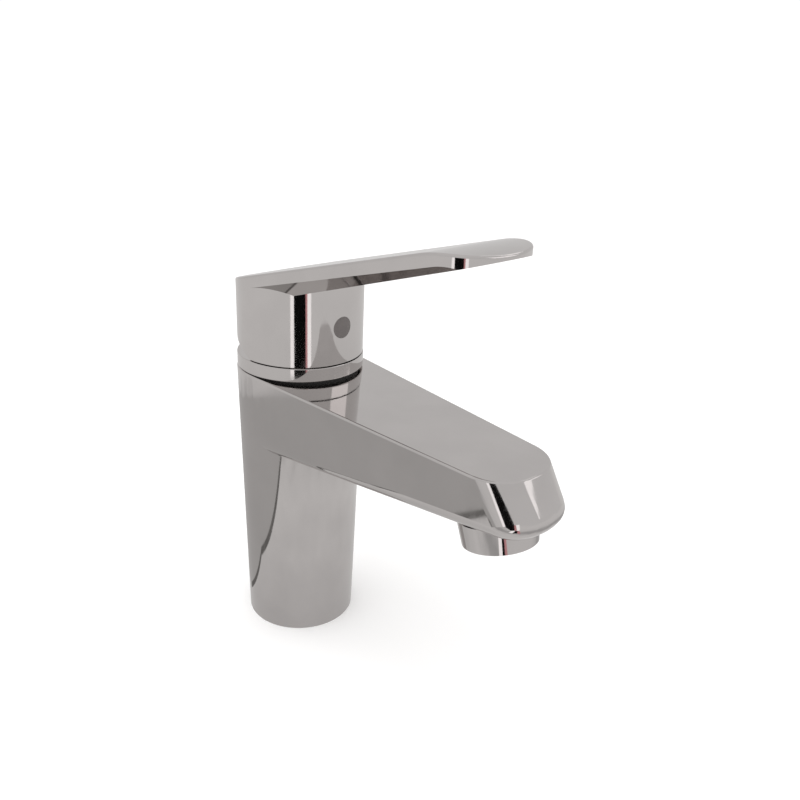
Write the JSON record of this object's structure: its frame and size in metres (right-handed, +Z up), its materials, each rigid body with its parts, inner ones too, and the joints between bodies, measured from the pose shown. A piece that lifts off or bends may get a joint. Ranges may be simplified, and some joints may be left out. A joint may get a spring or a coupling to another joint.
{
  "type": "single-lever basin mixer faucet",
  "caption": "Single-lever basin mixer: round tapered column, flat-topped tapering spout with tilted aerator, tilting and turning paddle lever over a ceramic-disc cartridge.",
  "frame": {"origin": "centre of the column's base on the deck", "axes": "+Z up along the column; the spout and the lever point along -Y; the object is symmetric about X = 0"},
  "size_m": [0.0468, 0.1389, 0.1629],
  "materials": {
    "chromed_brass": "polished chrome plating on cast brass",
    "chromed_zinc": "polished chrome plating on zinc casting",
    "black_rubber": "matt",
    "black_polymer": "matt",
    "white_polymer": "satin moulded",
    "grey_polymer": "satin moulded",
    "ceramic": "lapped alumina",
    "stem_steel": "turned",
    "raw_brass": "turned",
    "plug_grey": "satin moulded"
  },
  "bodies": {
    "faucet_body": {"body_casting": "chromed_brass", "base_seal_ring": "black_rubber", "cartridge_housing": "white_polymer", "cartridge_base_plate": "grey_polymer", "port_seals": "black_rubber", "fixed_ceramic_disc": "ceramic", "temperature_limiter": "grey_polymer", "retaining_nut": "raw_brass", "neck_ring": "black_polymer", "cover_ring": "chromed_brass", "aerator_housing": "chromed_brass", "aerator_insert": "grey_polymer", "flow_regulator": "white_polymer", "aerator_screen": "stem_steel", "aerator_washer": "black_rubber"},
    "rotor": {"cartridge_rotor": "white_polymer", "rotor_o_ring": "black_rubber", "stem_pivot_pin": "stem_steel"},
    "lever": {"lever_handle": "chromed_zinc", "cartridge_stem": "stem_steel", "grub_screw": "stem_steel", "indicator_plug": "plug_grey"},
    "carrier": {"disc_carrier": "grey_polymer", "moving_ceramic_disc": "ceramic"}
  },
  "joints": [
    {"name": "temperature_turn", "type": "hinge", "parent": "faucet_body", "child": "rotor", "pos_m": [0, 0, 0.107], "axis": [0, 0, 1], "range_deg": [-45, 45]},
    {"name": "flow_lift", "type": "hinge", "parent": "rotor", "child": "lever", "pos_m": [0, 0, 0.107], "axis": [-1, 0, 0], "range_deg": [0, 22]},
    {"name": "disc_slide", "type": "slide", "parent": "rotor", "child": "carrier", "axis": [0, -1, 0], "range_m": [0, 0.0031]}
  ],
  "couplings": [
    {"joint": "disc_slide", "follows": "flow_lift", "m_per_rad": 0.008}
  ]
}
